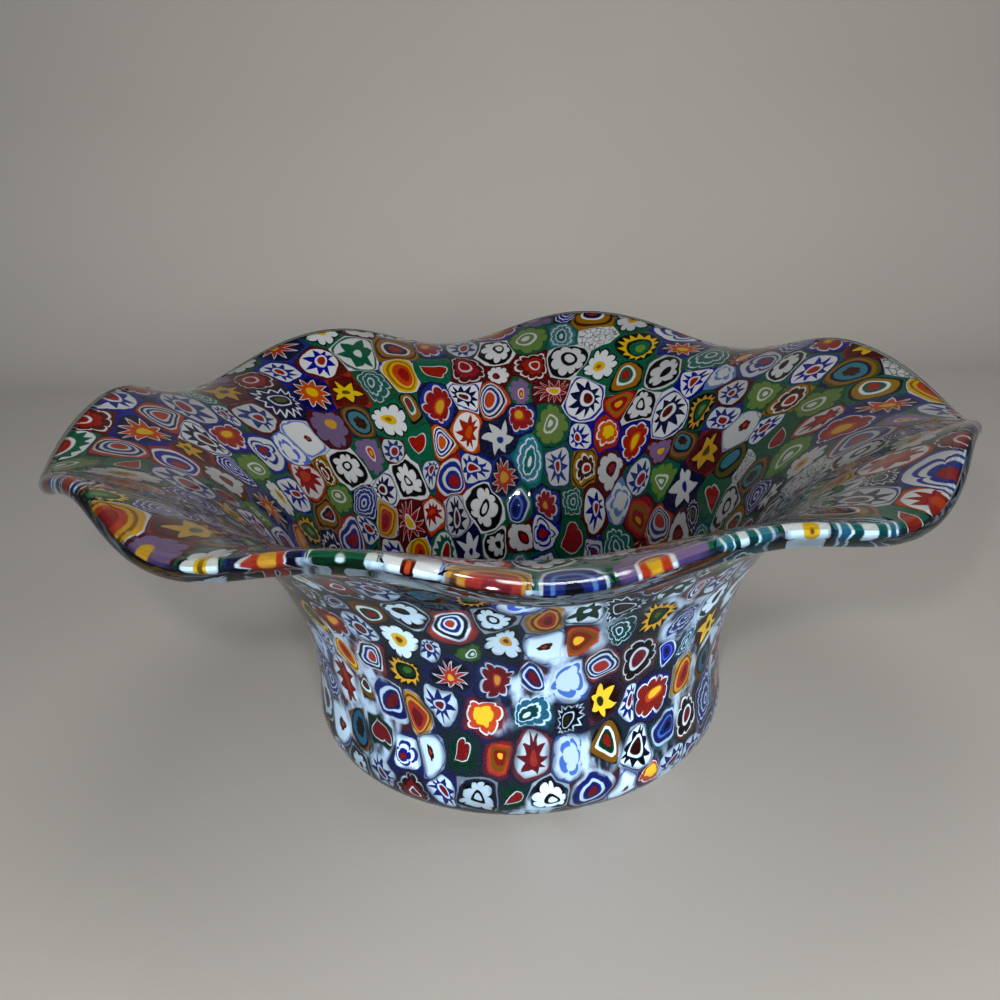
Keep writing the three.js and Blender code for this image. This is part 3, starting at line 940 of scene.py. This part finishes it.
def area_of(outline):
    x, y = outline.T
    return 0.5 * float(np.sum(x * np.roll(y, -1) - np.roll(x, -1) * y))


def reach_of(outline):
    """Radius of the circle with the outline's area."""
    return math.sqrt(abs(area_of(outline)) / math.pi)


def centroid(outline):
    x, y = outline.T
    next_x, next_y = np.roll(x, -1), np.roll(y, -1)
    cross = x * next_y - next_x * y
    return np.array([np.sum((x + next_x) * cross), np.sum((y + next_y) * cross)]) / (3 * np.sum(cross))


def divided(outline, piece_length):
    """The outline with extra points on its long edges, the same from either side of an edge."""
    points = []
    for a, b in zip(outline, np.roll(outline, -1, axis=0)):
        parts = max(1, round(float(np.hypot(*(b - a))) / piece_length))
        points += [a + (b - a) * k / parts for k in range(parts)]
    return np.array(points)


def drawn_out(edge):
    """Turns points round a slice into cane coordinates, in which the slice is about one across."""
    spread_of = edge.T @ edge / len(edge)
    even = np.eye(2) * np.trace(spread_of) / 2
    values, axes = np.linalg.eigh(spread_of * OVAL + even * ROUND)
    return axes @ np.diag(1 / np.sqrt(2 * values)) @ axes.T


def how_far_out(points, outline, centre):
    """0 at the centre of a slice, 1 on its outline and level on smaller copies of the outline."""
    along = np.roll(outline, -1, axis=0) - outline
    out = np.column_stack([along[:, 1], -along[:, 0]])
    return ((points - centre) @ out.T / np.sum((outline - centre) * out, axis=1)).max(axis=1)


def slice_mesh(layout, outline, spin):
    """Vertices (run, bearing, depth), cane coordinates, seam shares, leans, faces and their sides."""
    centre = centroid(outline)
    whole = divided(outline, reach_of(outline) * EDGE_PIECE)
    reach = np.hypot(*whole.T)
    edge = whole * np.minimum(1, layout.plane_rim / reach)[:, None]
    middle = centroid(edge)
    count = len(edge)
    turn = np.array([[math.cos(spin), -math.sin(spin)], [math.sin(spin), math.cos(spin)]])
    plane = np.concatenate([middle + (edge - middle) * share for share in RING_SHARES] + [middle[None]])
    seam = how_far_out(plane, outline, centre)
    cane = (plane - centre) @ drawn_out(whole - centre) @ turn.T
    wall = layout.to_wall(plane, math.atan2(middle[1], middle[0]))
    one_side = len(plane)

    l = layers()
    rounding = layout.rim - layout.end
    past = np.clip((wall[:, 0] - layout.end) / rounding, 0, STEEPEST)
    fall = np.sqrt(1 - past ** 2)
    low = l.lip_middle - (l.lip_middle - l.casing) * fall
    high = l.lip_middle + (l.wall - l.lip_middle) * fall
    lean = past / fall / rounding
    vertices = np.concatenate([np.column_stack([wall, low]), np.column_stack([wall, high])])
    leans = np.concatenate([lean * (l.lip_middle - l.casing), lean * (l.wall - l.lip_middle)])
    faces, sides = [], []
    rings = len(RING_SHARES)
    for side, start in ((-1, 0), (1, one_side)):
        for ring in range(rings):
            for k in range(count):
                n = (k + 1) % count
                a, b = start + ring * count + k, start + ring * count + n
                if ring == rings - 1:
                    face = (a, b, start + one_side - 1)
                else:
                    face = (a, b, b + count, a + count)
                faces.append(face[::-1] if side < 0 else face)
                sides.append(side)
    for k in range(count):
        n = (k + 1) % count
        faces.append((k, n, one_side + n, one_side + k))
        sides.append(0)
    return vertices, np.tile(cane, (2, 1)), np.tile(seam, 2), leans, faces, sides


def course_bounds(layout):
    """Name of each course of slices and the run where it ends."""
    centre = layers().centre_radius
    bounds = [("centre_slice", centre)]
    spans = (("floor_course", centre, layout.flat), ("heel_course", layout.flat, layout.heel_end),
             ("wall_course", layout.heel_end, layout.wall_end),
             ("flare_course", layout.wall_end, layout.end))
    for name, start, end in spans:
        count = sum(node.startswith(name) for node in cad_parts)
        bounds += [(f"{name}_{i + 1}", start + (end - start) * (i + 1) / count) for i in range(count)]
    return bounds


# ---- Pieces ----------------------------------------------------------------------------------


def turned_piece(name, section, sides, columns, material):
    """An open section of (run, depth) points carried round the bowl, and the side of each face."""
    vertices, faces, face_sides = [], [], []
    for column in range(columns):
        bearing = TURN * column / columns
        vertices += [(run, bearing, depth) for run, depth in section]
    rows = len(section)
    for column in range(columns):
        start, following = column * rows, (column + 1) % columns * rows
        for row in range(rows - 1):
            faces.append((start + row, following + row, following + row + 1, start + row + 1))
            face_sides.append(sides[row])
    return laid_on_wall(name, flat_mesh(name, vertices, faces), material), face_sides


def spread(start, end, count):
    return [start + (end - start) * i / count for i in range(count + 1)]


def settle(piece, node):
    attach(piece, "root")
    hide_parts(node)


def skin_glass():
    name = "clear_skin_glass"
    return bpy.data.materials.get(name) or clear_glass(name, colours().clear, colours().clear_index)


KIND_REACH = 2.6  # a kind isn't used twice this near, in slice radii
SET_REACH = 2  # nor this near to a slice whose kind is listed
SKIN_COLUMNS, SKIN_ROWS = 288, (2, 12, 56)  # faces of the casing: round it, on floor, heel and wall
LIP_ROWS, LIP_LENGTH = 14, 0.9  # faces over the lip, and its length as a share of its half height
LAP = 0.00002  # gap that keeps the lip's last row off the casing, in metres
DISC_RINGS, DISC_COLUMNS = 10, 96


class BOWL_OT_mosaic(bpy.types.Operator):
    """Cut cane slices fused side by side, one piece for each course"""

    bl_idname = "bowl.mosaic"
    bl_label = "Mosaic"

    def execute(self, context):
        layout = Layout()
        outlines, dice = layout.slices()
        places = np.array([centroid(outline) for outline in outlines])
        kinds = list(KINDS)
        weights = np.array([KINDS[kind][0] for kind in kinds], float)
        for kind, (_, coat, zones) in KINDS.items():
            cane_colour_tree(kind, coat, zones)
        materials = {kind: (cane_material(kind, False), cane_material(kind, True)) for kind in kinds}
        bounds = course_bounds(layout)
        courses = {name: [] for name, _ in bounds}
        set_kinds = {}
        for kind, run, bearing in PLACED:
            spot = layout.to_plane(run, math.radians(bearing))
            set_kinds[int(np.hypot(*(places - spot).T).argmin())] = kind
        chosen = []
        for i, (place, outline) in enumerate(zip(places, outlines)):
            run = min(float(np.interp(np.hypot(*place), layout.plane, layout.run)), layout.end)
            course = next((name for name, end in bounds if run <= end), bounds[-1][0])
            if i > 0 and course == "centre_slice":
                course = bounds[1][0]
            distance, radius = np.hypot(*(places - place).T), reach_of(outline)
            near_kinds = {chosen[j] for j in np.flatnonzero(distance[:i] < KIND_REACH * radius)}
            near_kinds |= {set_kinds[j] for j in set_kinds if distance[j] < SET_REACH * radius}
            free = np.array([0 if kind in near_kinds else w for kind, w in zip(kinds, weights)])
            kind = kinds[dice.choice(len(kinds), p=free / free.sum())]
            kind = set_kinds.get(i, kind)
            chosen.append(kind)
            courses[course].append((outline, kind, dice.uniform(0, TURN), dice.uniform(0, 1)))
        for name, members in courses.items():
            self.build(name, members, layout, materials)
        return {"FINISHED"}

    def build(self, name, members, layout, materials):
        used = sorted({member[1] for member in members})
        vertices, canes, seams, tones, leans = [], [], [], [], []
        faces, sides, slots = [], [], []
        start = 0
        for outline, kind, spin, tone in members:
            v, cane, seam, lean, f, side = slice_mesh(layout, outline, spin)
            vertices.append(v)
            canes.append(cane)
            seams.append(seam)
            leans.append(lean)
            tones.append(np.full(len(v), tone))
            faces += [tuple(start + k for k in face) for face in f]
            sides += side
            slots += [2 * used.index(kind) + (face_side < 1) for face_side in side]
            start += len(v)
        flat = flat_mesh(name, np.concatenate(vertices), faces)
        for material in (material for kind in used for material in materials[kind]):
            flat.materials.append(material)
        flat.polygons.foreach_set("material_index", slots)
        corner = np.zeros(len(flat.loops), np.int32)
        flat.loops.foreach_get("vertex_index", corner)
        cane_map = flat.uv_layers.new(name="cane")
        cane_map.data.foreach_set("uv", np.concatenate(canes)[corner].ravel())
        for label, values in (("to_seam", seams), ("tone", tones)):
            attribute = flat.attributes.new(label, "FLOAT", "POINT")
            attribute.data.foreach_set("value", np.concatenate(values).astype(np.float32))
        piece = laid_on_wall("slices_" + name, flat)
        shade_along_wall(piece, sides, np.concatenate(leans))
        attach(piece, "root")
        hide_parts(name)


class BOWL_OT_casing(bpy.types.Operator):
    """Clear casing over the mosaic: inner face, foot and outer face, open where the lip joins on"""

    bl_idname = "bowl.casing"
    bl_label = "Clear casing"

    def execute(self, context):
        layout, l = Layout(), layers()
        on_floor, on_heel, on_wall = SKIN_ROWS
        runs = spread(l.pad_radius + l.parting, layout.flat, on_floor)
        runs += spread(layout.flat, layout.heel_end, on_heel)[1:]
        runs += spread(layout.heel_end, layout.end, on_wall)[1:]
        over = [(run, l.casing + l.bond) for run in reversed(runs)]
        under = [(run, 0.0) for run in runs]
        sides = [1] * (len(over) - 1) + [0] + [-1] * (len(under) - 1)
        piece, face_sides = turned_piece("clear_skin", over + under, sides, SKIN_COLUMNS, skin_glass())
        shade_along_wall(piece, face_sides)
        settle(piece, "clear_casing")
        return {"FINISHED"}


class BOWL_OT_lip(bpy.types.Operator):
    """Clear rounded lip over the ends of the last slices"""

    bl_idname = "bowl.lip"
    bl_label = "Clear lip"

    def execute(self, context):
        layout, l = Layout(), layers()
        nose = l.wall / 2
        centre = layout.skin_end - nose * LIP_LENGTH
        halfway = (layout.end + centre) / 2
        section = [(layout.end, 0.0), (halfway, 0.0)]
        section += [(centre + nose * LIP_LENGTH * math.cos(a), nose + nose * math.sin(a))
                    for a in spread(-math.pi / 2, math.pi / 2, LIP_ROWS)]
        section += [(halfway, l.wall), (layout.end - LAP, l.wall)]
        glass = clear_glass("clear_lip_glass", colours().lip, colours().lip_index)
        piece, _ = turned_piece("clear_lip", section, [0] * len(section), SKIN_COLUMNS, glass)
        for name in ("inward", "along"):
            piece.data.attributes.remove(piece.data.attributes[name])
        piece.data.shade_smooth()
        settle(piece, "lip_collar")
        return {"FINISHED"}


class BOWL_OT_ground_disc(bpy.types.Operator):
    """Ground disc of clear glass under the floor"""

    bl_idname = "bowl.ground_disc"
    bl_label = "Ground disc"

    def execute(self, context):
        l = layers()
        inner = l.casing + l.bond
        rings = spread(0.0, l.pad_radius, DISC_RINGS)[1:]
        vertices, faces, sides = [(0.0, 0.0, 0.0), (0.0, 0.0, inner)], [], []
        for ring in rings:
            for column in range(DISC_COLUMNS):
                bearing = TURN * column / DISC_COLUMNS
                vertices += [(ring, bearing, 0.0), (ring, bearing, inner)]
        for column in range(DISC_COLUMNS):
            a, b = 2 + 2 * column, 2 + 2 * ((column + 1) % DISC_COLUMNS)
            faces += [(0, b, a), (1, a + 1, b + 1)]
            sides += [-1, 1]
            for ring in range(len(rings) - 1):
                here, there = 2 * DISC_COLUMNS * ring, 2 * DISC_COLUMNS * (ring + 1)
                faces += [(a + here, b + here, b + there, a + there),
                          (b + here + 1, a + here + 1, a + there + 1, b + there + 1)]
                sides += [-1, 1]
            rim = 2 * DISC_COLUMNS * (len(rings) - 1)
            faces.append((a + rim, b + rim, b + rim + 1, a + rim + 1))
            sides.append(0)
        disc = laid_on_wall("ground_disc", flat_mesh("ground_disc", vertices, faces), skin_glass())
        shade_along_wall(disc, sides)
        settle(disc, "base_pad")
        return {"FINISHED"}


class BOWL_OT_stage(bpy.types.Operator):
    """Plain pale floor and backdrop, soft lamps and the camera"""

    bl_idname = "bowl.stage"
    bl_label = "Stage"

    def execute(self, context):
        settings = stage_settings()
        self.sheet(settings)
        self.lamps(settings)
        self.camera(context.scene, settings)
        return {"FINISHED"}

    def sheet(self, settings):
        """Floor that curves up into the backdrop."""
        far, bend = settings.backdrop_distance, settings.backdrop_bend
        profile = [(-settings.floor_length, 0.0), (far - bend, 0.0)]
        profile += [(far - bend + bend * math.sin(a), bend - bend * math.cos(a))
                    for a in spread(0, math.pi / 2, 14)]
        profile += [(far, settings.backdrop_height)]
        vertices, faces = [], []
        side = settings.floor_side
        for y, z in profile:
            vertices += [(-side, y, z), (side, y, z)]
        for i in range(len(profile) - 1):
            faces.append((2 * i, 2 * i + 1, 2 * i + 3, 2 * i + 2))
        mesh = bpy.data.meshes.new("floor_and_backdrop")
        mesh.from_pydata(vertices, [], faces)
        mesh.shade_smooth()
        material, g = new_material("pale_board")
        place = g.term("ShaderNodeTexCoord", "Object")
        mottle = g.noise(place, 9.0, 4.0)
        grain = g.noise(place, 240.0, 2.0)
        tint = g.mix_colour(g.rise(mottle, 0.3, 0.7) * 0.25, (*settings.floor, 1),
                            (*[c * 0.93 for c in settings.floor], 1))
        bump = g.term("ShaderNodeBump", 0, None, {"Strength": 0.1, "Distance": 0.0002, "Height": grain})
        paint = g.node("ShaderNodeBsdfPrincipled", None, {
            "Base Color": tint, "Roughness": g.rise(mottle, 0.2, 0.8) * 0.1 + 0.42, "Normal": bump})
        g.feed(g.node("ShaderNodeOutputMaterial").inputs["Surface"], Term(g, paint.outputs[0]))
        mesh.materials.append(material)
        sheet = bpy.data.objects.new("floor_and_backdrop", mesh)
        bpy.context.scene.collection.objects.link(sheet)

    def lamps(self, settings):
        for name in ("window", "front", "fill", "spark"):
            light = bpy.data.lights.new(name, "AREA")
            light.shape = "DISK" if name == "spark" else "SQUARE"
            light.size = getattr(settings, name + "_size")
            light.energy = getattr(settings, name + "_strength")
            light.spread = getattr(settings, name + "_spread", math.pi)
            lamp = bpy.data.objects.new(name, light)
            lamp.visible_glossy = name == "spark"  # the gloss shows the small lamp alone
            stand = Vector(getattr(settings, name + "_place"))
            lamp.location = stand
            lamp.rotation_euler = (Vector(settings.aim) - stand).to_track_quat("-Z", "Y").to_euler()
            bpy.context.scene.collection.objects.link(lamp)
        world = bpy.data.worlds.new("room")
        world.use_nodes = True
        background = world.node_tree.nodes["Background"]
        background.inputs["Color"].default_value = (*settings.room_colour, 1)
        background.inputs["Strength"].default_value = settings.room_strength
        bpy.context.scene.world = world

    def camera(self, scene, settings):
        yaw, pitch, roll = settings.camera_yaw, settings.camera_pitch, settings.camera_roll
        ahead = Vector((math.sin(yaw) * math.cos(pitch), math.cos(yaw) * math.cos(pitch), -math.sin(pitch)))
        level = Vector((math.cos(yaw), -math.sin(yaw), 0))
        above = level.cross(ahead)
        right = level * math.cos(roll) + above * math.sin(roll)
        top = above * math.cos(roll) - level * math.sin(roll)
        data = bpy.data.cameras.new("camera")
        data.sensor_width = 36
        data.lens = settings.camera_lens
        data.clip_start = 0.01
        camera = bpy.data.objects.new("camera", data)
        camera.matrix_world = Matrix.Translation(settings.camera_place) @ \
            Matrix((right, top, -ahead)).transposed().to_4x4()
        scene.collection.objects.link(camera)
        scene.camera = camera
        scene.view_settings.view_transform = "Standard"


class BOWL_PT_panel(bpy.types.Panel):
    """Sizes, colours and buttons of the bowl"""

    bl_idname = "BOWL_PT_panel"
    bl_label = "Mosaic Bowl"
    bl_space_type = "VIEW_3D"
    bl_region_type = "UI"
    bl_category = "Mosaic Bowl"

    def draw(self, context):
        scene = context.scene
        for group in (scene.bowl_skin, scene.bowl_layers, scene.bowl_colours, scene.bowl_stage):
            box = self.layout.box()
            for name in sizes_of(group):
                box.prop(group, name)
        for operator in OPERATORS:
            self.layout.operator(operator.bl_idname)


GROUPS = {"bowl_skin": SkinSizes, "bowl_layers": LayerSizes, "bowl_colours": BowlColours,
          "bowl_stage": StageSettings}
OPERATORS = (BOWL_OT_mosaic, BOWL_OT_casing, BOWL_OT_lip, BOWL_OT_ground_disc, BOWL_OT_stage)


def register():
    for name, group in GROUPS.items():
        bpy.utils.register_class(group)
        setattr(bpy.types.Scene, name, bpy.props.PointerProperty(type=group))
    for made in (*OPERATORS, BOWL_PT_panel):
        bpy.utils.register_class(made)


def unregister():
    for made in (BOWL_PT_panel, *reversed(OPERATORS)):
        bpy.utils.unregister_class(made)
    for name, group in reversed(GROUPS.items()):
        delattr(bpy.types.Scene, name)
        bpy.utils.unregister_class(group)


def main():
    register()
    bpy.ops.bowl.mosaic()
    bpy.ops.bowl.casing()
    bpy.ops.bowl.lip()
    bpy.ops.bowl.ground_disc()
    bpy.ops.bowl.stage()


if __name__ == "__main__":
    main()
